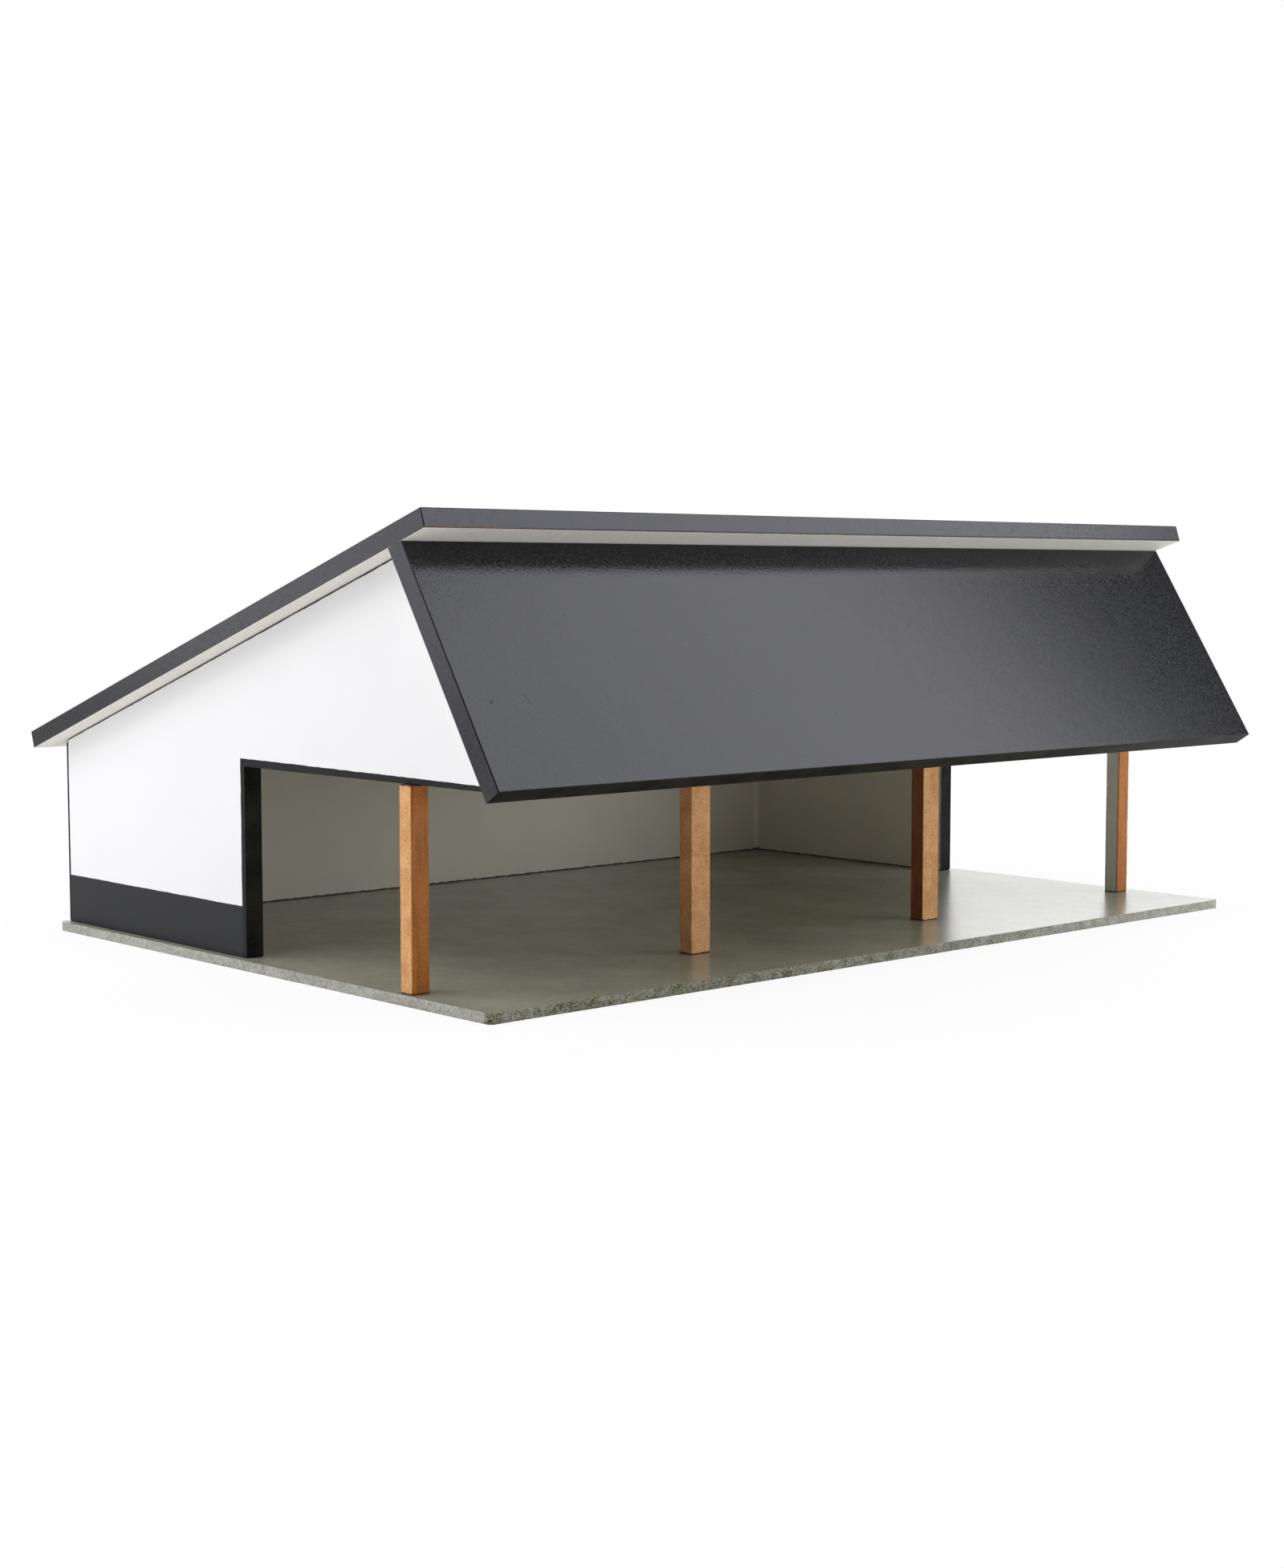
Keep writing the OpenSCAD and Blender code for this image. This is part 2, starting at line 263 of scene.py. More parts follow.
graph = bpy.context.evaluated_depsgraph_get()
cut_mesh = bpy.data.meshes.new_from_object(base_board.evaluated_get(graph))
base_board.modifiers.clear()
base_board.data = cut_mesh
bpy.data.objects.remove(cutter)


# ---- Side walls and rear wall -----------------------------------------------------------------
# Boards of 10 mm fibreboard. The outer faces are rolled white, with a masked dark plinth and thin
# dark borders; the cut edges are brushed black, and the inner faces have one warm pale coat.
NOTCH_Y = 10 * MM         # where a side wall's lower part ends and the open side begins
BAY_TOP = 101 * MM        # underside of the part that runs forward over the open side
EAVE_Z = 105.2 * MM       # top of the walls at the rear
EAVE_R = 3 * MM
FOOT_R = 1.2 * MM
ARRIS = 0.35 * MM         # width of the eased edges of a board
SAME_PLACE = 0.001 * MM   # points closer than this are one
ROOF_PITCH = math.radians(17.9)
ROOF_SLOPE = math.tan(ROOF_PITCH)
PLINTH_TOP = 31 * MM
REAR_BORDER = 2.1 * MM    # widths of the dark borders: along the rear edge, beside the open side, and
NOTCH_BORDER = 3.5 * MM   # above it, where the border widens from the front to the notch
BAY_BORDER_FRONT = 2.4 * MM
BAY_BORDER_NOTCH = 4.1 * MM
# The line under the roof is black paint; the one along the foot is painted shadow where the wall meets the
# base.
ROOF_LINE = 0.7 * MM      # the dark lines under the roof and along the foot
FOOT_SHADE_LINE = 0.5 * MM
PAINT_WANDER = 0.35 * MM  # how far a painted line strays
PAINT_EDGE = 0.08 * MM    # softness of a painted line
FILLER = 2.6 * MM         # width of the filler in the rear corners
FILLER_TOP = 92 * MM      # it stops under the strips that locate the hood


def board(outline, x_from, x_to, rounds):
    """A board with an outline of (y, z) points, some corners rounded, between two places in x."""
    made = bmesh.new()
    rim = [made.verts.new((x_from, y, z)) for y, z in outline]
    side = made.faces.new(rim)
    raised = bmesh.ops.extrude_face_region(made, geom=[side])
    new_verts = [v for v in raised["geom"] if isinstance(v, bmesh.types.BMVert)]
    bmesh.ops.translate(made, vec=(x_to - x_from, 0, 0), verts=new_verts)
    bmesh.ops.recalc_face_normals(made, faces=made.faces)
    for (y, z), radius in rounds:
        across = [e for e in made.edges
                  if all(math.hypot(v.co.y - y, v.co.z - z) < SAME_PLACE for v in e.verts)]
        bmesh.ops.bevel(made, geom=across, offset=radius, affect="EDGES", segments=6, profile=0.5,
                        material=-1)
    return made


def ease(made, width, smallest_turn=0.5):
    """Rounds every edge where two faces of the board meet at more than an angle in radians."""
    sharp = [e for e in made.edges if e.calc_face_angle(0) > smallest_turn]
    eased = bmesh.ops.bevel(made, geom=sharp, offset=width, affect="EDGES", segments=2, profile=0.5,
                            material=-1)
    for face in eased["faces"]:
        face.smooth = True


# Cool white emulsion on the outer faces, with a fine roller stipple. The black of the cut edges comes
# round onto the face in thin borders, and a satin anthracite plinth was masked and painted over it. A
# near-black line along the foot is painted shadow, where the wall stands on the base.
white_outer, tree, shader, place = new_material("rolled_white_with_anthracite", Roughness=0.42,
                                                IOR=1.46, Specular_IOR_Level=0.25)
wander = add_node(tree, "TexNoise", {"Vector": place, "Scale": 1 / (7 * MM), "Detail": 3})
wobble = add_node(tree, "MapRange", {"Value": wander.outputs["Fac"], "To Min": -PAINT_WANDER,
                                     "To Max": PAINT_WANDER})
axes = add_node(tree, "SeparateXYZ", {"Vector": place})
across_y = add_node(tree, "Math", {0: axes.outputs["Y"], 1: wobble.outputs["Result"]}, operation="ADD")
up_z = add_node(tree, "Math", {0: axes.outputs["Z"], 1: wobble.outputs["Result"]}, operation="ADD")
wall_low, wall_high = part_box("left_wall")
border_gain = (BAY_BORDER_NOTCH - BAY_BORDER_FRONT) / (NOTCH_Y - wall_low.y)
over_bay = add_node(tree, "Math", {0: axes.outputs["Y"], 1: -border_gain, 2: up_z.outputs[0]},
                    operation="MULTIPLY_ADD")
to_roof = add_node(tree, "Math", {0: axes.outputs["Y"], 1: ROOF_SLOPE, 2: up_z.outputs[0]},
                   operation="MULTIPLY_ADD")
bay_line = BAY_TOP + BAY_BORDER_FRONT - border_gain * wall_low.y
roof_line = EAVE_Z + ROOF_SLOPE * wall_high.y - ROOF_LINE
# Each mask: what is measured, the value of the painted line, and whether the paint lies above it
masks = {
    "plinth": (up_z, PLINTH_TOP, False),
    "rear": (across_y, wall_high.y - REAR_BORDER, True),
    "beside_notch": (across_y, NOTCH_Y + NOTCH_BORDER, False),
    "over_bay": (over_bay, bay_line, False),
    "under_roof": (to_roof, roof_line, True),
    # the foot line: painted shadow where the wall meets the base
    "foot": (up_z, wall_low.z + FOOT_SHADE_LINE, False),
}
painted = {}
for name, (measured, line, above) in masks.items():
    painted[name] = add_node(tree, "MapRange", {
        "Value": measured.outputs[0], "From Min": line - PAINT_EDGE, "From Max": line + PAINT_EDGE,
        "To Min": 0 if above else 1, "To Max": 1 if above else 0}).outputs["Result"]
border = add_node(tree, "Math", {0: painted["beside_notch"], 1: painted["over_bay"]},
                  operation="MULTIPLY")
off_middle = add_node(tree, "Math", {0: axes.outputs["X"]}, operation="ABSOLUTE")
rear_wall_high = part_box("rear_wall")[1]
on_side_wall = add_node(tree, "Math", {0: off_middle.outputs[0], 1: rear_wall_high.x},
                        operation="GREATER_THAN")
beside_rear = add_node(tree, "Math", {0: painted["rear"], 1: on_side_wall.outputs[0]},
                       operation="MULTIPLY")
for mask in (beside_rear.outputs[0], painted["under_roof"]):
    border = add_node(tree, "Math", {0: border.outputs[0], 1: mask}, operation="MAXIMUM")
shade = add_node(tree, "TexNoise", {"Vector": place, "Scale": 1 / (45 * MM)})
white_tone = add_node(tree, "Mix", {"Factor": shade.outputs["Fac"], "A": colour("#f3f3f5"),
                                    "B": colour("#f6f6f8")}, data_type="RGBA")
anthracite_tone = add_node(tree, "Mix", {"Factor": shade.outputs["Fac"], "A": colour("#191a20"),
                                         "B": colour("#202128")}, data_type="RGBA")
coats = white_tone
# Over the white: the dark borders, the anthracite plinth, and a near-black painted shadow along the foot
for mask, paint in ((border.outputs[0], colour("#19191c")),
                    (painted["plinth"], anthracite_tone.outputs["Result"]),
                    (painted["foot"], colour("#0c0c0d"))):
    coats = add_node(tree, "Mix", {"Factor": mask, "A": coats.outputs["Result"], "B": paint},
                     data_type="RGBA")
tree.links.new(coats.outputs["Result"], shader.inputs["Base Color"])
border_matt = add_node(tree, "MapRange", {"Value": border.outputs[0], "To Min": 0.42, "To Max": 0.6})
tree.links.new(border_matt.outputs["Result"], shader.inputs["Roughness"])
stipple = add_node(tree, "TexNoise", {"Vector": place, "Scale": 1 / (0.9 * MM)})
bump = add_node(tree, "Bump", {"Height": stipple.outputs["Fac"], "Strength": 0.35,
                               "Distance": 0.05 * MM})
tree.links.new(bump.outputs["Normal"], shader.inputs["Normal"])

# Black brushed on cut fibreboard: the open edge drinks the paint, so it dries matt and furry.
black_edge, tree, shader, place = new_material("black_on_cut_fibreboard", Roughness=0.5, IOR=1.45,
                                               Specular_IOR_Level=0.08)
fur = add_node(tree, "TexNoise", {"Vector": place, "Scale": 1 / (1 * MM), "Detail": 4, "Roughness": 0.7})
smudge = add_node(tree, "TexNoise", {"Vector": place, "Scale": 1 / (14 * MM), "Detail": 3})
edge_mix = add_node(tree, "Mix", {"Factor": 0.5, "A": fur.outputs["Fac"], "B": smudge.outputs["Fac"]})
edge_tone = add_node(tree, "ValToRGB", {"Fac": edge_mix.outputs["Result"]})
edge_tone.color_ramp.elements[0].position = 0.38
edge_tone.color_ramp.elements[0].color = colour("#0b0b0b")
edge_tone.color_ramp.elements[1].position = 0.66
edge_tone.color_ramp.elements[1].color = colour("#2c2b27")
tree.links.new(edge_tone.outputs["Color"], shader.inputs["Base Color"])
bump = add_node(tree, "Bump", {"Height": fur.outputs["Fac"], "Strength": 0.7, "Distance": 0.12 * MM})
tree.links.new(bump.outputs["Normal"], shader.inputs["Normal"])

# The inner faces' single coat: warm off-white, a little uneven, and darker where it meets the base.
pale_inner, tree, shader, place = new_material("warm_pale_coat", Roughness=0.45, IOR=1.46)
clouds = add_node(tree, "TexNoise", {"Vector": place, "Scale": 1 / (30 * MM), "Detail": 3})
inner_tone = add_node(tree, "Mix", {"Factor": clouds.outputs["Fac"], "A": colour("#d8d5c6"),
                                    "B": colour("#e2dfd2")}, data_type="RGBA")
ragged = add_node(tree, "TexNoise", {"Vector": place, "Scale": 1 / (3 * MM), "Detail": 3})
axes = add_node(tree, "SeparateXYZ", {"Vector": place})
seam_z = add_node(tree, "Math", {0: ragged.outputs["Fac"], 1: -1.2 * MM, 2: axes.outputs["Z"]},
                  operation="MULTIPLY_ADD")
seam = add_node(tree, "MapRange", {"Value": seam_z.outputs[0], "From Min": wall_low.z,
                                   "From Max": wall_low.z + 0.3 * MM, "To Min": 1, "To Max": 0})
with_seam = add_node(tree, "Mix", {"Factor": seam.outputs["Result"], "A": inner_tone.outputs["Result"],
                                   "B": colour("#3a3935")}, data_type="RGBA")
tree.links.new(with_seam.outputs["Result"], shader.inputs["Base Color"])
brushed = add_node(tree, "TexNoise", {"Vector": place, "Scale": 1 / (1.5 * MM)})
bump = add_node(tree, "Bump", {"Height": brushed.outputs["Fac"], "Strength": 0.35,
                               "Distance": 0.04 * MM})
tree.links.new(bump.outputs["Normal"], shader.inputs["Normal"])

WALL_FINISHES = [white_outer, black_edge, pale_inner]


def paint_faces(made, outwards):
    """The first finish on the face that points outwards, the third on the one that points in, and the
    second on the edges."""
    made.normal_update()
    for face in made.faces:
        turn = face.normal.dot(outwards)
        face.material_index = 0 if turn > FACES_IT else 2 if turn < -FACES_IT else 1


for side, node in ((-1, "left_wall"), (1, "right_wall")):
    low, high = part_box(node)
    top_front_y = high.y - (high.z - EAVE_Z) / ROOF_SLOPE
    outline = [(high.y, low.z), (high.y, EAVE_Z), (top_front_y, high.z), (low.y, BAY_TOP),
               (NOTCH_Y, BAY_TOP), (NOTCH_Y, low.z)]
    rounds = [(outline[0], FOOT_R), (outline[1], EAVE_R), (outline[5], FOOT_R)]
    bm = board(outline, low.x, high.x, rounds)
    ease(bm, ARRIS)
    paint_faces(bm, Vector((side, 0, 0)))
    finish_piece(bm, node + "_board", "barn", WALL_FINISHES, [node])

low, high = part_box("rear_wall")
outline = [(low.y, low.z), (high.y, low.z), (high.y, EAVE_Z), (low.y, high.z)]
bm = board(outline, low.x, high.x, [])
ease(bm, ARRIS)
paint_faces(bm, Vector((0, 1, 0)))
finish_piece(bm, "rear_wall_board", "barn", WALL_FINISHES, ["rear_wall"])

# Filler wiped into the rear corners with a fingertip: hollow, a little paler, and darker at the foot
filler, tree, shader, place = new_material("painted_filler", Roughness=0.5, IOR=1.46)
ragged_foot = add_node(tree, "TexNoise", {"Vector": place, "Scale": 1 / (2.5 * MM), "Detail": 3})
height = add_node(tree, "SeparateXYZ", {"Vector": place}).outputs["Z"]
darker_foot_z = add_node(tree, "Math", {0: ragged_foot.outputs["Fac"], 1: -9 * MM, 2: height},
                   operation="MULTIPLY_ADD")
# a ragged band at the foot is coloured dark
darker_foot = add_node(tree, "MapRange", {"Value": darker_foot_z.outputs[0], "From Min": 1.5 * MM,
                                    "From Max": 3 * MM, "To Min": 1, "To Max": 0})
filler_tone = add_node(tree, "Mix", {"Factor": darker_foot.outputs["Result"], "A": colour("#e6e3d7"),
                                     "B": colour("#35332b")}, data_type="RGBA")
tree.links.new(filler_tone.outputs["Result"], shader.inputs["Base Color"])
for side, name in ((-1, "left_corner_filler"), (1, "right_corner_filler")):
    corner = Vector((side * high.x, low.y, low.z))
    along_rear = Vector((-side * FILLER, 0, 0))
    along_side = Vector((0, -FILLER, 0))
    bm = bmesh.new()
    hollow = [along_rear * math.cos(turn) ** 3 + along_side * math.sin(turn) ** 3
              for turn in (0, math.pi / 6, math.pi / 4, math.pi / 3, math.pi / 2)]
    foot = bm.faces.new([bm.verts.new(corner)] + [bm.verts.new(corner + point) for point in hollow])
    raised = bmesh.ops.extrude_face_region(bm, geom=[foot])
    new_verts = [v for v in raised["geom"] if isinstance(v, bmesh.types.BMVert)]
    bmesh.ops.translate(bm, vec=(0, 0, FILLER_TOP - low.z), verts=new_verts)
    bmesh.ops.recalc_face_normals(bm, faces=bm.faces)
    finish_piece(bm, name, "barn", [filler])


# ---- Posts ------------------------------------------------------------------------------------
# Sticks sawn from bare fibreboard and sealed clear. Two have a pair of saw cuts, pale and full of chips
# of fibre, between faces of the board's smooth, darker skin. One is sawn all round, its sides in a darker
# copy of the cut that is painted shade, and one was cut from a painted board.
SAW_STEP = 2 * MM         # length of the steps that a saw cut's mesh runs in
SAW_NICK = 0.18 * MM      # how deep the blade strayed
NICK_SIZE = 3 * MM
# Width and softness of the red-brown lines: glue at a post's top, painted shadow at its foot
GLUE_AND_SHADOW_LINE = 0.6 * MM
GLUE_AND_SHADOW_EDGE = 0.1 * MM      # softness of a glue line
LEANS = 0.2               # a face leans along a direction where its normal has more than this of it
post_low, post_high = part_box("centre_left_post")


def with_glue_and_shadow_lines(tree, place, tone):
    """The tone with thin red-brown lines: squeezed-out glue at a post's top, painted shadow at its foot.
    """
    half_height = (post_high.z - post_low.z) / 2
    ragged = add_node(tree, "TexNoise", {"Vector": place, "Scale": 1 / (2 * MM)})
    height = add_node(tree, "SeparateXYZ", {"Vector": place}).outputs["Z"]
    from_middle = add_node(tree, "Math", {0: height, 1: post_low.z + half_height}, operation="SUBTRACT")
    from_middle = add_node(tree, "Math", {0: from_middle.outputs[0]}, operation="ABSOLUTE")
    reach = add_node(tree, "Math", {0: ragged.outputs["Fac"], 1: 2 * GLUE_AND_SHADOW_LINE, 2: from_middle.outputs[0]},
                     operation="MULTIPLY_ADD")
    glue_and_shadow = add_node(tree, "MapRange", {"Value": reach.outputs[0], "From Min": half_height - GLUE_AND_SHADOW_EDGE,
                                        "From Max": half_height + GLUE_AND_SHADOW_EDGE})
    on_post = add_node(tree, "Math", {0: from_middle.outputs[0], 1: half_height + 0.01 * MM},
                       operation="LESS_THAN")
    line = add_node(tree, "Math", {0: glue_and_shadow.outputs["Result"], 1: on_post.outputs[0]},
                    operation="MULTIPLY")
    # red-brown: glue at the top, painted shadow at the foot
    mixed = add_node(tree, "Mix", {"Factor": line.outputs[0], "A": tone, "B": colour("#46200f")},
                     data_type="RGBA")
    return mixed.outputs["Result"]


def saw_cut(name, pale, dark):
    """Sawn fibreboard under a thin clear sealer. Its fibre chips, under a millimetre long, are drawn
    coarser so that they show."""
    material, tree, shader, place = new_material(name, Roughness=0.62, IOR=1.45)
    fibre = add_node(tree, "TexNoise", {"Vector": place, "Scale": 1 / (0.8 * MM), "Detail": 4,
                                        "Roughness": 0.7})
    patch = add_node(tree, "TexNoise", {"Vector": place, "Scale": 1 / (9 * MM)})
    grain = add_node(tree, "Mix", {"Factor": 0.3, "A": fibre.outputs["Fac"], "B": patch.outputs["Fac"]})
    tone = add_node(tree, "ValToRGB", {"Fac": grain.outputs["Result"]})
    tone.color_ramp.elements[0].position = 0.39
    tone.color_ramp.elements[0].color = colour(pale)
    tone.color_ramp.elements[1].position = 0.61
    tone.color_ramp.elements[1].color = colour(dark)
    chips = add_node(tree, "TexVoronoi", {"Vector": place, "Scale": 1 / (1.5 * MM)})
    specks = add_node(tree, "MapRange", {"Value": chips.outputs["Distance"], "From Min": 0.1,
                                         "From Max": 0.22, "To Min": 0.5, "To Max": 0})
    speckled = add_node(tree, "Mix", {"Factor": specks.outputs["Result"], "A": tone.outputs["Color"],
                                      "B": colour("#8a5526")}, data_type="RGBA")
    tree.links.new(with_glue_and_shadow_lines(tree, place, speckled.outputs["Result"]), shader.inputs["Base Color"])
    bump = add_node(tree, "Bump", {"Height": grain.outputs["Result"], "Strength": 0.8,
                                   "Distance": 0.15 * MM})
    tree.links.new(bump.outputs["Normal"], shader.inputs["Normal"])
    return material


# Most cuts are tan; a darker, browner copy of them is painted shade, for a centre post's sides under the
# roof.
sawn_cut = saw_cut("sawn_fibreboard", "#ebb97f", "#c68648")
shaded_sawn_cut = saw_cut("shaded_sawn_fibreboard", "#cf9b67", "#a06b39")


def board_skin(name, dark, light):
    """Board skin: pressed smooth, with dark specks of bark and faint streaks from the sealer's cloth."""
    material, tree, shader, place = new_material(name, Roughness=0.42, IOR=1.47, Specular_IOR_Level=0.3)
    long_streak = add_node(tree, "Mapping", {"Vector": place, "Scale": (1, 1, 0.12)})
    streaks = add_node(tree, "TexNoise", {"Vector": long_streak.outputs["Vector"],
                                          "Scale": 1 / (2.2 * MM), "Detail": 4})
    dust = add_node(tree, "TexNoise", {"Vector": place, "Scale": 1 / (0.6 * MM)})
    skin_mix = add_node(tree, "Mix", {"Factor": 0.55, "A": streaks.outputs["Fac"],
                                      "B": dust.outputs["Fac"]})
    skin_tone = add_node(tree, "ValToRGB", {"Fac": skin_mix.outputs["Result"]})
    skin_tone.color_ramp.elements[0].position = 0.35
    skin_tone.color_ramp.elements[0].color = colour(dark)
    skin_tone.color_ramp.elements[1].position = 0.65
    skin_tone.color_ramp.elements[1].color = colour(light)
    bark = add_node(tree, "TexNoise", {"Vector": place, "Scale": 1 / (1.1 * MM),
                                       "Roughness": 0.7})
    barky = add_node(tree, "MapRange", {"Value": bark.outputs["Fac"], "From Min": 0.56, "From Max": 0.68,
                                        "To Max": 0.45})
    specked = add_node(tree, "Mix", {"Factor": barky.outputs["Result"], "A": skin_tone.outputs["Color"],
                                     "B": colour("#4a2a12")}, data_type="RGBA")
    tree.links.new(with_glue_and_shadow_lines(tree, place, specked.outputs["Result"]), shader.inputs["Base Color"])
    bump = add_node(tree, "Bump", {"Height": dust.outputs["Fac"], "Strength": 0.3,
                                   "Distance": 0.05 * MM})
    tree.links.new(bump.outputs["Normal"], shader.inputs["Normal"])
    return material


amber_skin = board_skin("amber_fibreboard_skin", "#92510f", "#bd7424")
dark_skin = board_skin("dark_fibreboard_skin", "#714020", "#925c35")

# For each post: the finishes of its left and right faces, of its front and rear faces, and of the
# arrises beside its left face, where the painted one has a dark line
POSTS = {
    "front_left_post": (sawn_cut, amber_skin, amber_skin),
    # its sides take the darker copy of the cut: painted shade under the roof
    "centre_left_post": (shaded_sawn_cut, sawn_cut, sawn_cut),
    "centre_right_post": (dark_skin, sawn_cut, sawn_cut),
    "front_right_post": (pale_inner, amber_skin, black_edge),
}
for node, finishes in POSTS.items():
    low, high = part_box(node)
    bm = block(low, high)
    ease(bm, ARRIS)
    lengthwise = [e for e in bm.edges if abs(e.verts[0].co.z - e.verts[1].co.z) > SAW_STEP]
    bmesh.ops.subdivide_edges(bm, edges=lengthwise, cuts=round((high.z - low.z) / SAW_STEP),
                              use_grid_fill=True)
    bm.normal_update()
    for vert in bm.verts:
        nick = SAW_NICK * abs(noise.fractal(vert.co / NICK_SIZE, *FRACTAL))
        vert.co -= Vector((vert.normal.x, vert.normal.y, 0)) * nick
    for face in bm.faces:
        on_left_arris = face.normal.x < -LEANS and abs(face.normal.y) > LEANS
        on_side = abs(face.normal.x) > abs(face.normal.y)
        face.material_index = 2 if on_left_arris else 0 if on_side else 1
    finish_piece(bm, node + "_stick", "barn", finishes, [node])


# ---- Beam and strips --------------------------------------------------------------------------
# Battens ripped from the same fibreboard, glued out of sight: the beam over the middle posts, the
# three-sided strip behind the panel's top and the strips that hold the hood in its place.
def batten_copy(node):
    """The CAD node's mesh with its triangles merged into whole faces and its edges eased."""
    made = bmesh.new()
    made.from_mesh(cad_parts[node].data)
    bmesh.ops.remove_doubles(made, verts=made.verts, dist=SAME_PLACE)
    bmesh.ops.dissolve_limit(made, angle_limit=math.radians(1), verts=made.verts, edges=made.edges)
    ease(made, ARRIS)
    return made


for node in ("ridge_strip", "left_locating_strip", "right_locating_strip", "rear_locating_strip"):
    finish_piece(batten_copy(node), node + "_batten", "roof_hood", [sawn_cut], [node])

low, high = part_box("front_beam")
bm = block(low, high)
ease(bm, ARRIS)
finish_piece(bm, "front_beam_batten", "barn", [sawn_cut], ["front_beam"])


# ---- Screws and dowels ------------------------------------------------------------------------
# Zinc-plated countersunk screws with a cross recess hold the base on; turned beech dowels join the
# boards and stay out of sight inside them. Their CAD meshes stay, with the plating's faint bloom and
# the beech's fine flecks as finishes.
zinc, tree, shader, place = new_material("bright_zinc_plate", Metallic=1, Roughness=0.32)
plating = add_node(tree, "TexNoise", {"Vector": place, "Scale": 1 / (1.5 * MM), "Detail": 3})
zinc_tone = add_node(tree, "Mix", {"Factor": plating.outputs["Fac"], "A": colour("#b9bbb8"),
                                   "B": colour("#d6d5cd")}, data_type="RGBA")
tree.links.new(zinc_tone.outputs["Result"], shader.inputs["Base Color"])
beech, tree, shader, place = new_material("turned_beech", Roughness=0.55, IOR=1.45)
rays = add_node(tree, "TexNoise", {"Vector": place, "Scale": 1 / (1 * MM), "Detail": 3})
beech_tone = add_node(tree, "Mix", {"Factor": rays.outputs["Fac"], "A": colour("#d9b78a"),
                                    "B": colour("#bd9160")}, data_type="RGBA")
tree.links.new(beech_tone.outputs["Result"], shader.inputs["Base Color"])
FIXINGS = {
    "wall_screws": zinc,
    "post_screws": zinc,
    "rear_corner_dowels": beech,
    "beam_dowels": beech,
    "post_dowels": beech,
}
for node, material in FIXINGS.items():
    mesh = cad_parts[node].data
    mesh.materials.clear()
    mesh.materials.append(material)


# ---- Roof board -------------------------------------------------------------------------------
# One board of 9 mm fibreboard with square edges, sanded a little at the arrises. It is sprayed satin
# black, rubbed through to brown board along the lower front arris and touched up with a brush at the
# upright corners, and its underside has a pale coat.
ROOF_T = 9.5 * MM
LACQUERED_ARRIS = 0.45 * MM   # sanded rounder than the walls, so the lacquer covers it
LOWER_ARRIS = 0.8 * MM        # the lower front arris is the roundest, and rubbed
RUB_REACH = 6 * MM            # size of the rub at the front left corner, and its place below the top
RUB_DROP = 3 * MM
RUBBED_END = 45 * MM          # how far the lower arris is rubbed bare from its left end, and the
RUBBED_FADE = 30 * MM         # length over which that turns to spots
SQUARE_TO_IT = 0.1            # a face is square to a direction where its normal has less than this of it

# Satin black lacquer, sprayed: fine orange peel with a leathery grain of duller spots, drawn coarser so
# that it shows, a few pale dust nibs, and a broad highlight that breaks up at its rim.
black_lacquer, tree, shader, place = new_material("sprayed_satin_black", Roughness=0.1, IOR=1.43,
                                                  Specular_Tint=colour("#eff1ff"))
peel = add_node(tree, "TexNoise", {"Vector": place, "Scale": 1 / (0.9 * MM)})
swell = add_node(tree, "TexNoise", {"Vector": place, "Scale": 1 / (8 * MM)})
dust = add_node(tree, "TexVoronoi", {"Vector": place, "Scale": 1 / (9 * MM)})
nibs = add_node(tree, "MapRange", {"Value": dust.outputs["Distance"], "From Min": 0.01, "From Max": 0.04,
                                   "To Min": 1, "To Max": 0})
height = add_node(tree, "Mix", {"Factor": 0.3, "A": peel.outputs["Fac"], "B": swell.outputs["Fac"]})
height = add_node(tree, "Math", {0: nibs.outputs["Result"], 1: 1.2, 2: height.outputs["Result"]},
                  operation="MULTIPLY_ADD")
leather = add_node(tree, "TexNoise", {"Vector": place, "Scale": 1 / (1.3 * MM),
                                      "Roughness": 0.6})
grained = add_node(tree, "Bump", {"Height": leather.outputs["Fac"], "Distance": 0.07 * MM})
bump = add_node(tree, "Bump", {"Height": height.outputs[0], "Distance": 0.1 * MM,
                               "Normal": grained.outputs["Normal"]})
tree.links.new(bump.outputs["Normal"], shader.inputs["Normal"])
grains = add_node(tree, "MapRange", {"Value": leather.outputs["Fac"], "From Min": 0.39,
                                     "From Max": 0.61})
lacquer_tone = add_node(tree, "Mix", {"Factor": grains.outputs["Result"], "A": colour("#000001"),
                                      "B": colour("#1f1f21")}, data_type="RGBA")
dusty_tone = add_node(tree, "Mix", {"Factor": nibs.outputs["Result"], "A": lacquer_tone.outputs["Result"],
                                    "B": colour("#5c5c5b")}, data_type="RGBA")
# Two old marks near the panel's left end, dull and dark: a tick and a fine curved scratch. Each is part
# of a ring: its centre, radius and half width, and the place and reach of the part that shows.
MARKS = [
    ((-0.2659, -0.1824, 0.1400), 0.7 * MM, 0.3 * MM, (-0.2664, -0.1822, 0.1405), 1.2 * MM),
    ((-0.2550, -0.1836, 0.1369), 10.6 * MM, 0.2 * MM, (-0.2453, -0.1811, 0.1412), 3.4 * MM),
]
dull = 0
for centre, radius, half_width, place_seen, reach in MARKS:
    from_centre = add_node(tree, "VectorMath", {0: place, 1: centre}, operation="DISTANCE")
    on_ring = add_node(tree, "Math", {0: from_centre.outputs["Value"], 1: radius, 2: half_width},
                       operation="COMPARE")
    from_place = add_node(tree, "VectorMath", {0: place, 1: place_seen}, operation="DISTANCE")
    near = add_node(tree, "Math", {0: from_place.outputs["Value"], 1: reach}, operation="LESS_THAN")
    marked = add_node(tree, "Math", {0: on_ring.outputs[0], 1: near.outputs[0]}, operation="MULTIPLY")
    dull = add_node(tree, "Math", {0: marked.outputs[0], 1: dull}, operation="MAXIMUM").outputs[0]
marked_tone = add_node(tree, "Mix", {"Factor": dull, "A": dusty_tone.outputs["Result"],
                                     "B": colour("#020202")}, data_type="RGBA")
tree.links.new(marked_tone.outputs["Result"], shader.inputs["Base Color"])
gloss = add_node(tree, "MapRange", {"Value": grains.outputs["Result"], "To Min": 0.09, "To Max": 0.2})
marked_gloss = add_node(tree, "Mix", {"Factor": dull, "A": gloss.outputs["Result"], "B": 0.5})
tree.links.new(marked_gloss.outputs["Result"], shader.inputs["Roughness"])

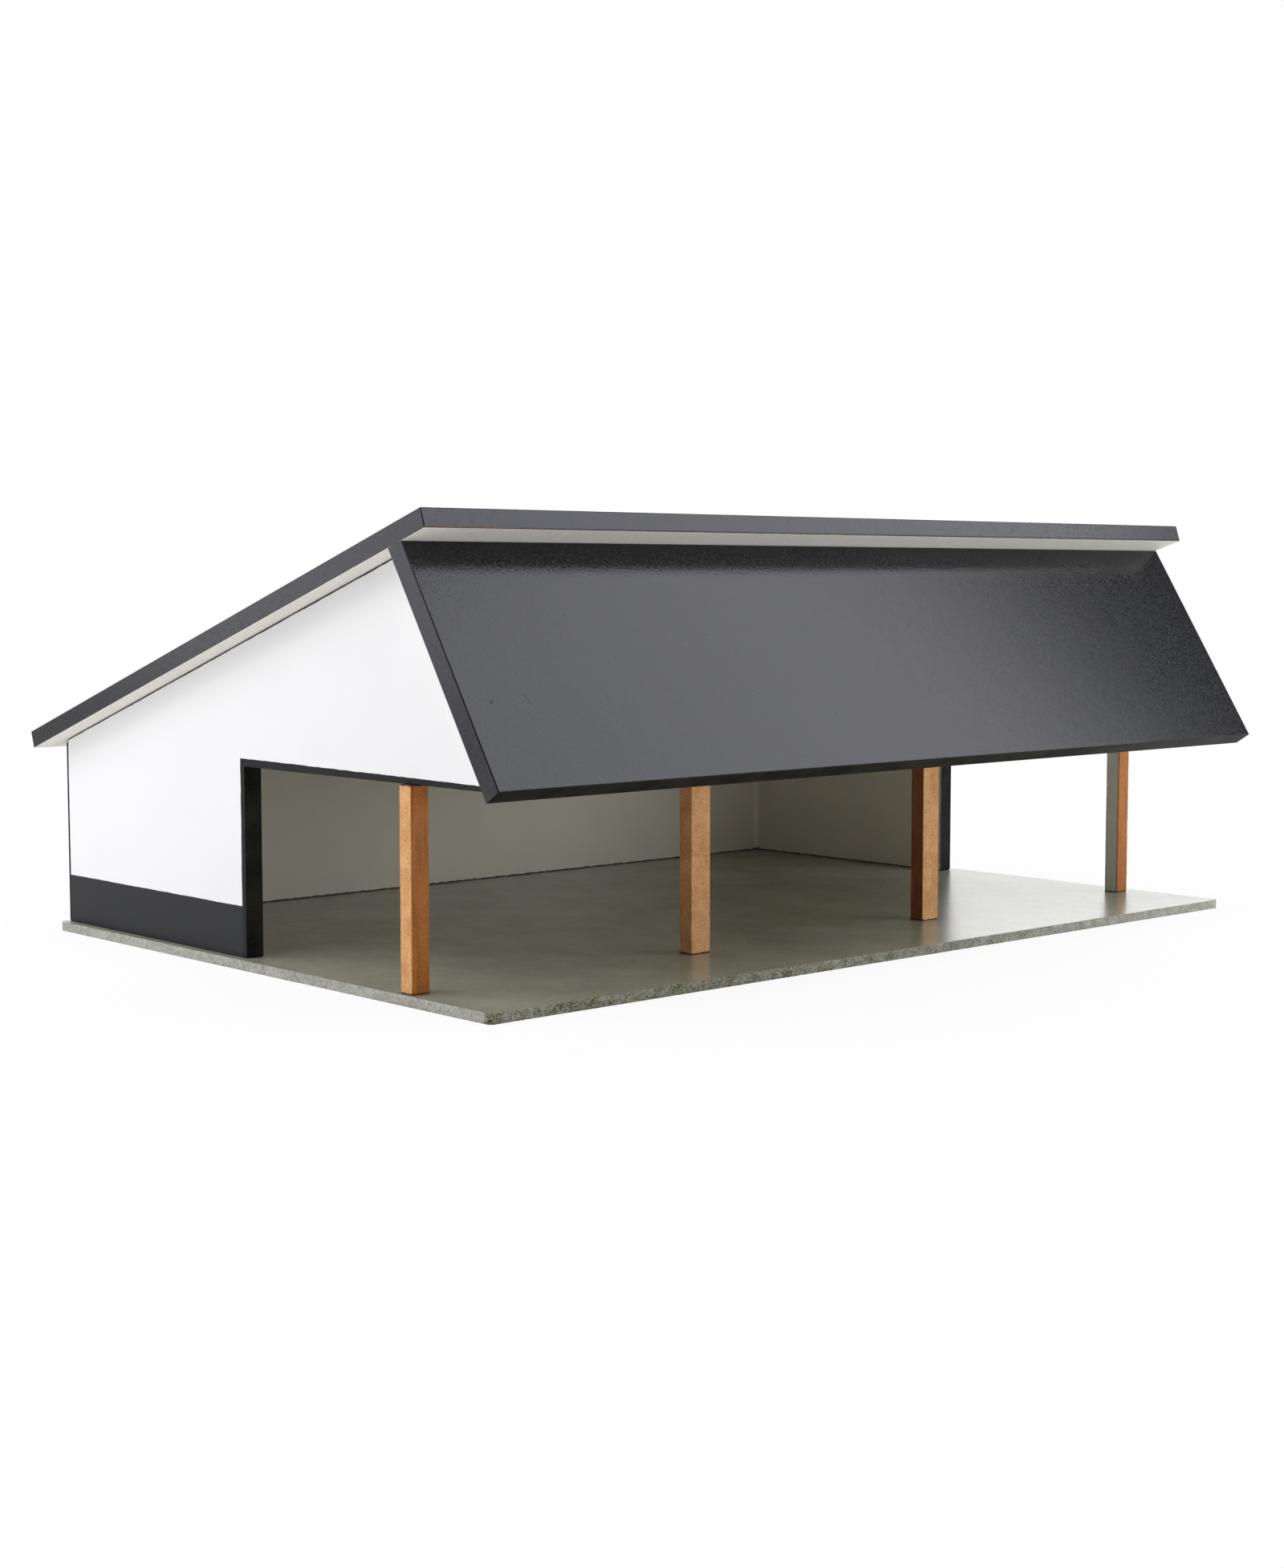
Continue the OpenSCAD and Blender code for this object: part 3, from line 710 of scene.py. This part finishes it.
# The same lacquer over the cut edges, pebbly and in purplish dull blotches where the open fibre drank it,
# with a faint brown rub beside the roof's front left corner.
sprayed_edge, tree, shader, place = new_material("satin_black_on_cut_edge", Roughness=0.2, IOR=1.5,
                                                 Specular_Tint=colour("#eef0ff"))
pebbles = add_node(tree, "TexNoise", {"Vector": place, "Scale": 1 / (0.9 * MM), "Detail": 3,
                                      "Roughness": 0.6})
bump = add_node(tree, "Bump", {"Height": pebbles.outputs["Fac"], "Strength": 0.8,
                               "Distance": 0.06 * MM})
tree.links.new(bump.outputs["Normal"], shader.inputs["Normal"])
haze = add_node(tree, "TexNoise", {"Vector": place, "Scale": 1 / (20 * MM), "Detail": 3})
edge_black = add_node(tree, "Mix", {"Factor": haze.outputs["Fac"], "A": colour("#09090b"),
                                    "B": colour("#151518")}, data_type="RGBA")
low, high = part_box("roof_board")
rub_centre = Vector((low.x + RUB_REACH, low.y, high.z - RUB_DROP))
from_rub = add_node(tree, "VectorMath", {0: place, 1: rub_centre}, operation="DISTANCE")
rubbed = add_node(tree, "MapRange", {"Value": from_rub.outputs["Value"], "From Min": RUB_REACH / 3,
                                     "From Max": RUB_REACH, "To Min": 0.6, "To Max": 0.3})
rubbed = add_node(tree, "Math", {0: rubbed.outputs["Result"], 1: pebbles.outputs["Fac"]},
                  operation="ADD")
rubbed = add_node(tree, "MapRange", {"Value": rubbed.outputs[0], "From Min": 0.98, "From Max": 1.15})
edge_tone = add_node(tree, "Mix", {"Factor": rubbed.outputs["Result"], "A": edge_black.outputs["Result"],
                                   "B": colour("#3f2a22")}, data_type="RGBA")
blotches = add_node(tree, "TexNoise", {"Vector": place, "Scale": 1 / (2.2 * MM), "Detail": 5,
                                       "Roughness": 0.75})
drunk_in = add_node(tree, "MapRange", {"Value": blotches.outputs["Fac"], "From Min": 0.46,
                                       "From Max": 0.73})
blotched = add_node(tree, "Mix", {"Factor": drunk_in.outputs["Result"], "A": edge_tone.outputs["Result"],
                                  "B": colour("#201a1d")}, data_type="RGBA")
tree.links.new(blotched.outputs["Result"], shader.inputs["Base Color"])
dulled = add_node(tree, "MapRange", {"Value": drunk_in.outputs["Result"], "To Min": 0.17,
                                     "To Max": 0.38})
tree.links.new(dulled.outputs["Result"], shader.inputs["Roughness"])

# The lower front arris: brown board shows all along its left end, and in spots further on.
rubbed_arris, tree, shader, place = new_material("lacquer_rubbed_through", Roughness=0.5, IOR=1.47)
spots = add_node(tree, "TexNoise", {"Vector": place, "Scale": 1 / (2 * MM), "Detail": 3})
along = add_node(tree, "SeparateXYZ", {"Vector": place}).outputs["X"]
wear = add_node(tree, "MapRange", {"Value": along, "From Min": low.x + RUBBED_END,
                                   "From Max": low.x + RUBBED_END + RUBBED_FADE,
                                   "To Min": 0.3, "To Max": 0})
worn = add_node(tree, "Math", {0: wear.outputs["Result"], 1: spots.outputs["Fac"]}, operation="ADD")
worn = add_node(tree, "MapRange", {"Value": worn.outputs[0], "From Min": 0.61, "From Max": 0.68})
arris_tone = add_node(tree, "Mix", {"Factor": worn.outputs["Result"], "A": colour("#17130f"),
                                    "B": colour("#67402c")}, data_type="RGBA")
tree.links.new(arris_tone.outputs["Result"], shader.inputs["Base Color"])

# The underside's thin pale coat, through which the board's fibre shows as fine grey speckle.
pale_underside, tree, shader, place = new_material("thin_pale_coat", Roughness=0.6, IOR=1.45)
fibre = add_node(tree, "TexNoise", {"Vector": place, "Scale": 1 / (0.9 * MM), "Detail": 4,
                                    "Roughness": 0.7})
under_tone = add_node(tree, "ValToRGB", {"Fac": fibre.outputs["Fac"]})
under_tone.color_ramp.elements[0].position = 0.35
under_tone.color_ramp.elements[0].color = colour("#dedbd2")
under_tone.color_ramp.elements[1].position = 0.6
under_tone.color_ramp.elements[1].color = colour("#f4f1ea")
tree.links.new(under_tone.outputs["Color"], shader.inputs["Base Color"])
bump = add_node(tree, "Bump", {"Height": fibre.outputs["Fac"], "Strength": 0.4, "Distance": 0.06 * MM})
tree.links.new(bump.outputs["Normal"], shader.inputs["Normal"])

up_slope = Vector((0, -math.cos(ROOF_PITCH), math.sin(ROOF_PITCH)))
through = Vector((0, math.sin(ROOF_PITCH), math.cos(ROOF_PITCH)))
rear_foot = Vector((0, high.y, low.z)) - Vector((0, ROOF_T * through.y, 0))
front_foot_z = high.z - ROOF_T * through.z
roof_len = (front_foot_z - low.z) / up_slope.z
front_foot = rear_foot + up_slope * roof_len
corners = (rear_foot, front_foot, front_foot + ROOF_T * through, rear_foot + ROOF_T * through)
outline = [(corner.y, corner.z) for corner in corners]
bm = board(outline, low.x, high.x, [(outline[1], LOWER_ARRIS)])
ease(bm, LACQUERED_ARRIS)
paint_faces(bm, through)
for face in bm.faces:
    turn = face.normal.dot(through)
    leans_forward = face.normal.dot(up_slope) > LEANS
    on_lower_front_arris = -FACES_IT < turn < -LEANS and leans_forward
    on_corner_arris = abs(turn) < SQUARE_TO_IT and LEANS < abs(face.normal.x) < FACES_IT
    if on_lower_front_arris:
        face.material_index = 3
    if on_corner_arris:
        face.material_index = 4
ROOF_FINISHES = [black_lacquer, sprayed_edge, pale_underside, rubbed_arris, black_edge]
finish_piece(bm, "roof", "roof_hood", ROOF_FINISHES, ["roof_board"])


# ---- Front panel ------------------------------------------------------------------------------
# A long board of 10 mm fibreboard, glued under the roof and leaning forward. Its face is sprayed like
# the roof, its lower edge and its face's arrises are brushed a dull black, and its back has the pale coat.
PANEL_T = 10.4 * MM
PANEL_LEAN = math.radians(32.3)
DOWNWARDS = -0.5          # a face that looks down has a normal with less than this of the way up
low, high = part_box("front_panel")
foot = Vector((low.y, low.z + PANEL_T * math.sin(PANEL_LEAN)))
back_foot = Vector((low.y + PANEL_T * math.cos(PANEL_LEAN), low.z))
face_top = Vector((foot.x + (high.z - foot.y) * math.tan(PANEL_LEAN), high.z))
back_top = Vector((high.y, high.z - (high.y - face_top.x) * ROOF_SLOPE))
bm = board([foot, back_foot, back_top, face_top], low.x, high.x, [])
ease(bm, LACQUERED_ARRIS)
outwards = Vector((0, -math.cos(PANEL_LEAN), math.sin(PANEL_LEAN)))
paint_faces(bm, outwards)
for face in bm.faces:
    turn = face.normal.dot(outwards)
    on_face_arris = LEANS < turn < FACES_IT
    looks_down = abs(turn) < SQUARE_TO_IT and face.normal.z < DOWNWARDS
    if on_face_arris or looks_down:
        face.material_index = 3
PANEL_FINISHES = [black_lacquer, sprayed_edge, pale_underside, black_edge]
finish_piece(bm, "front_panel_board", "roof_hood", PANEL_FINISHES, ["front_panel"])


# ---- Floor, background and light --------------------------------------------------------------
# A white table that runs out to a white backdrop. Large soft boxes stand high and low at the front
# right, to the left, above and behind, and the room behind the camera is dim.
TABLE_SIZE = 12           # metres, as are all sizes and distances in this section
TABLE_GAP = 0.0002        # the table lies this far under the barn
TABLE_GLOSS_SHARE = 0.35  # how white the table looks in a reflection
SHADOW_SHARE = 0.1        # how much of its real shading the table shows to the camera near the barn
SHADOW_FROM = 0.3         # how far from the barn's middle that starts to fade, and where it ends
SHADOW_TO = 0.75
BACKDROP_WAY = (0.67, 0.74, -0.3)
ROOM_LEVEL = 0.22         # how bright the dim room is beside the backdrop
LAMP_AIM = Vector((0, 0, 0.1))


def soft_box(name, azimuth, elevation, distance, width, height, brightness):
    """A rectangular lamp seen from the barn at an azimuth from +X and an elevation, both in degrees.
    Its brightness is 1 where it looks as bright as the white backdrop."""
    away = Vector((math.cos(math.radians(azimuth)), math.sin(math.radians(azimuth)), 0))
    away = away * math.cos(math.radians(elevation)) + Vector((0, 0, math.sin(math.radians(elevation))))
    lamp_data = bpy.data.lights.new(name, "AREA")
    lamp_data.shape = "RECTANGLE"
    lamp_data.size = width
    lamp_data.size_y = height
    lamp_data.energy = brightness * math.pi * width * height
    lamp = bpy.data.objects.new(name, lamp_data)
    lamp.location = LAMP_AIM + away * distance
    lamp.rotation_euler = away.to_track_quat("Z", "Y").to_euler()
    bpy.context.scene.collection.objects.link(lamp)


# Each: azimuth, elevation, distance, width, height and brightness
soft_box("key_box", -49.5, 36, 1.2, 0.85, 0.85, 2.85)
soft_box("low_box", -45, 3.5, 1.1, 0.6, 0.14, 6.5)
soft_box("low_box_2", -68, 3.5, 1.1, 0.6, 0.14, 2.6)
soft_box("left_box", 150, 14, 1.2, 1.05, 0.62, 1.5)
soft_box("left_high_box", 165, 48, 1.3, 1.1, 0.8, 3.05)
soft_box("top_box", -90, 76, 1.5, 1.2, 0.8, 1.1)
soft_box("back_box", 40, 20, 2.0, 1.4, 0.9, 2.0)

# The table is white to the camera, but for a faint shadow where the barn keeps the light off it.
table_white, tree, shader, place = new_material("white_table_paint", Roughness=0.8,
                                                Base_Color=colour("#f6f6f6"))
path = add_node(tree, "LightPath")
glossy = add_node(tree, "Math", {0: path.outputs["Is Glossy Ray"], 1: TABLE_GLOSS_SHARE},
                  operation="MULTIPLY")
seen = add_node(tree, "Math", {0: path.outputs["Is Camera Ray"], 1: glossy.outputs[0]},
                operation="MAXIMUM")
seen = add_node(tree, "Math", {0: seen.outputs[0], 1: path.outputs["Is Transmission Ray"]},
                operation="MAXIMUM")
reach = add_node(tree, "VectorMath", {0: place}, operation="LENGTH")
share = add_node(tree, "MapRange", {"Value": reach.outputs["Value"], "From Min": SHADOW_FROM,
                                    "From Max": SHADOW_TO, "To Min": 1 - SHADOW_SHARE, "To Max": 1},
                 interpolation_type="SMOOTHSTEP")
glow_share = add_node(tree, "Math", {0: seen.outputs[0], 1: share.outputs["Result"]},
                      operation="MULTIPLY")
glow = add_node(tree, "Emission", {"Color": (1, 1, 1, 1), "Strength": 1})
blend = add_node(tree, "MixShader", {0: glow_share.outputs[0], 1: shader.outputs["BSDF"],
                                     2: glow.outputs["Emission"]})
tree.links.new(blend.outputs["Shader"], tree.nodes["Material Output"].inputs["Surface"])
bm = bmesh.new()
bmesh.ops.create_grid(bm, x_segments=1, y_segments=1, size=TABLE_SIZE / 2)
bmesh.ops.translate(bm, vec=(0, 0, cad_low.z - TABLE_GAP), verts=bm.verts)
table_mesh = bpy.data.meshes.new("white_table")
bm.to_mesh(table_mesh)
bm.free()
table_mesh.materials.append(table_white)
table = bpy.data.objects.new("white_table", table_mesh)
bpy.context.scene.collection.objects.link(table)

world = bpy.data.worlds.new("studio")
bpy.context.scene.world = world
world.use_nodes = True
tree = world.node_tree
path = add_node(tree, "LightPath")
seen = add_node(tree, "Math", {0: path.outputs["Is Camera Ray"], 1: path.outputs["Is Transmission Ray"]},
                operation="MAXIMUM")
backdrop = tree.nodes["Background"]
backdrop.inputs["Color"].default_value = (1, 1, 1, 1)
# The backdrop hangs behind the barn; the rest of the room is dim
direction = add_node(tree, "TexCoord").outputs["Generated"]
behind = add_node(tree, "VectorMath", {0: direction, 1: BACKDROP_WAY}, operation="DOT_PRODUCT")
dim = add_node(tree, "MapRange", {"Value": behind.outputs["Value"], "From Min": 0.45, "From Max": 0.7,
                                  "To Min": ROOM_LEVEL, "To Max": 1})
strength = add_node(tree, "Math", {0: seen.outputs[0], 1: dim.outputs["Result"]}, operation="MAXIMUM")
tree.links.new(strength.outputs[0], backdrop.inputs["Strength"])


# ---- Camera -----------------------------------------------------------------------------------
# Low at the front left corner, at the height of the panel's top, looking slightly down.
FOCAL_PIXELS = 2949.4     # in the 1600 x 1954 picture
PICTURE_HEIGHT = 1954
YAW = 42.32               # degrees to the right of straight ahead
PITCH = 4.953             # degrees down
CAMERA_PLACE = (-0.9101, -0.9868, 0.1937)
camera_data = bpy.data.cameras.new("camera")
camera_data.lens = FOCAL_PIXELS * camera_data.sensor_width / PICTURE_HEIGHT
camera_data.clip_start = 0.01
camera = bpy.data.objects.new("camera", camera_data)
camera.location = CAMERA_PLACE
camera.rotation_euler = (math.radians(90 - PITCH), 0, math.radians(-YAW))
bpy.context.scene.collection.objects.link(camera)
bpy.context.scene.camera = camera
bpy.context.scene.view_settings.view_transform = "Standard"
